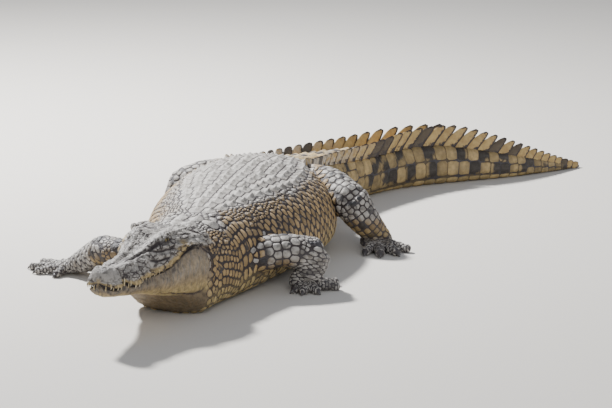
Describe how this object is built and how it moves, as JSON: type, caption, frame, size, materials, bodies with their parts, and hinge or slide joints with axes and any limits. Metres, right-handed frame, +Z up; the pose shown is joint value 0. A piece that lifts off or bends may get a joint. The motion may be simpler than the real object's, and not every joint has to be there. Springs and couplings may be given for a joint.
{
  "type": "nile crocodile",
  "caption": "Life-size still model of an adult Nile crocodile, lying on its belly with its head a little raised, legs spread and tail swung to its left.",
  "frame": {"origin": "on the floor under the middle of the trunk, on the belly's flat", "axes": "+Z up, -Y towards the snout, +X towards the animal's left side"},
  "size_m": [1.7136, 3.189, 0.3403],
  "materials": {
    "hide_head": "bony grey-brown hide with ridges and wrinkles, matt with a dull sheen on the ridges",
    "hide_body": "horny scales, grey-white on the back and ochre with dark bands on flanks and tail, dark creases between",
    "hide_pale": "smooth grey-tan hide of the cheeks, yellowish along the jaw's edge and throat",
    "hide_dark": "dark slate hide of hands and feet with pale cross bands",
    "eye": "wet golden-brown eye with a slit pupil"
  },
  "bodies": {
    "root": {"head": "hide_head", "lower_jaw": "hide_pale", "eye_left": "eye", "eye_right": "eye", "throat": "hide_pale", "neck": "hide_body", "trunk": "hide_body", "tail_base": "hide_body", "tail_middle": "hide_body", "tail_end": "hide_body", "upper_arm_left": "hide_body", "forearm_left": "hide_body", "hand_left": "hide_dark", "upper_arm_right": "hide_body", "forearm_right": "hide_body", "hand_right": "hide_dark", "thigh_left": "hide_body", "shank_left": "hide_body", "foot_left": "hide_dark", "thigh_right": "hide_body", "shank_right": "hide_body", "foot_right": "hide_dark"}
  },
  "joints": []
}
